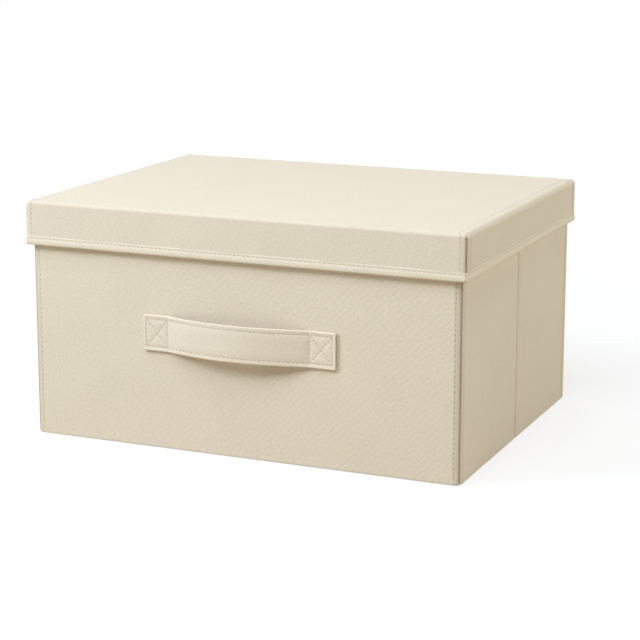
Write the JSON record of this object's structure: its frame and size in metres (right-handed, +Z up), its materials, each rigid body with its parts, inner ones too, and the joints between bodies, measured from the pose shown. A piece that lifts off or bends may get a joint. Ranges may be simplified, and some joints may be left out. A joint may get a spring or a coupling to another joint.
{
  "type": "clothes storage box",
  "caption": "Rectangular fabric storage box with card-stiffened walls, a flat lift-off lid with a hemmed skirt, and a sewn strap handle on the front.",
  "frame": {"origin": "centre of the flat face that the box stands on, under the middle of the body", "axes": "+X along the width, to the right as seen from the front; +Y from the front with the strap to the back; +Z up"},
  "size_m": [0.411, 0.3233, 0.212],
  "materials": {
    "cream_fabric": "felted non-woven with a faint diagonal emboss",
    "strap_fabric": "folded and topstitched felted fabric",
    "hem_fabric": "folded binding tape, topstitched",
    "lining_fabric": "thin non-woven",
    "card": "pressed grey card",
    "zip_plastic": "moulded coil on woven tape",
    "zip_metal": "plated, satin"
  },
  "bodies": {
    "back_wall": {"back_cover": "cream_fabric", "back_board": "card"},
    "right_rear_side": {"right_rear_cover": "cream_fabric", "right_rear_board": "card"},
    "right_front_side": {"right_front_cover": "cream_fabric", "right_front_board": "card"},
    "front_wall": {"front_cover": "cream_fabric", "front_board": "card", "handle_strap": "strap_fabric"},
    "left_rear_side": {"left_rear_cover": "cream_fabric", "left_rear_board": "card"},
    "left_front_side": {"left_front_cover": "cream_fabric", "left_front_board": "card"},
    "bottom_panel": {"bottom_cover": "cream_fabric", "bottom_board": "card", "zip_chain": "zip_plastic", "zip_slider": "zip_metal"},
    "zip_pull": {"zip_pull": "zip_metal"},
    "lid": {"lid_top_cover": "cream_fabric", "lid_left_end_cover": "cream_fabric", "lid_right_end_cover": "cream_fabric", "lid_top_board": "card", "lid_front_board": "card", "lid_back_board": "card", "lid_left_board": "card", "lid_right_board": "card", "lid_lining": "lining_fabric", "lid_hem_binding": "hem_fabric"}
  },
  "joints": [
    {"name": "lid_lift", "type": "slide", "parent": "back_wall", "child": "lid", "axis": [0, 0, 1], "range_m": [0, 0.25]},
    {"name": "right_rear_fold", "type": "hinge", "parent": "back_wall", "child": "right_rear_side", "pos_m": [0.1959, 0.1466, 0], "axis": [0, 0, 1], "range_deg": [-89.5, 0]},
    {"name": "right_front_fold", "type": "hinge", "parent": "right_rear_side", "child": "right_front_side", "pos_m": [0.20015, 0, 0], "axis": [0, 0, 1], "range_deg": [0, 179]},
    {"name": "front_fold", "type": "hinge", "parent": "right_front_side", "child": "front_wall", "pos_m": [0.1959, -0.1466, 0], "axis": [0, 0, 1], "range_deg": [-89.5, 0]},
    {"name": "left_rear_fold", "type": "hinge", "parent": "back_wall", "child": "left_rear_side", "pos_m": [-0.1959, 0.1466, 0], "axis": [0, 0, 1], "range_deg": [0, 89.5]},
    {"name": "left_front_fold", "type": "hinge", "parent": "left_rear_side", "child": "left_front_side", "pos_m": [-0.20015, 0, 0], "axis": [0, 0, 1], "range_deg": [-179, 0]},
    {"name": "bottom_swing", "type": "hinge", "parent": "back_wall", "child": "bottom_panel", "pos_m": [0, 0.15115, 0.00375], "axis": [-1, 0, 0], "range_deg": [-175, 0]},
    {"name": "pull_swing", "type": "hinge", "parent": "bottom_panel", "child": "zip_pull", "pos_m": [-0.1965, 0.1347, 0.0006], "axis": [-1, 0, 0], "range_deg": [0, 180]}
  ],
  "couplings": [
    {"joint": "right_front_fold", "follows": "right_rear_fold", "ratio": -2},
    {"joint": "front_fold", "follows": "right_rear_fold", "ratio": 1},
    {"joint": "left_rear_fold", "follows": "right_rear_fold", "ratio": -1},
    {"joint": "left_front_fold", "follows": "right_rear_fold", "ratio": 2}
  ]
}
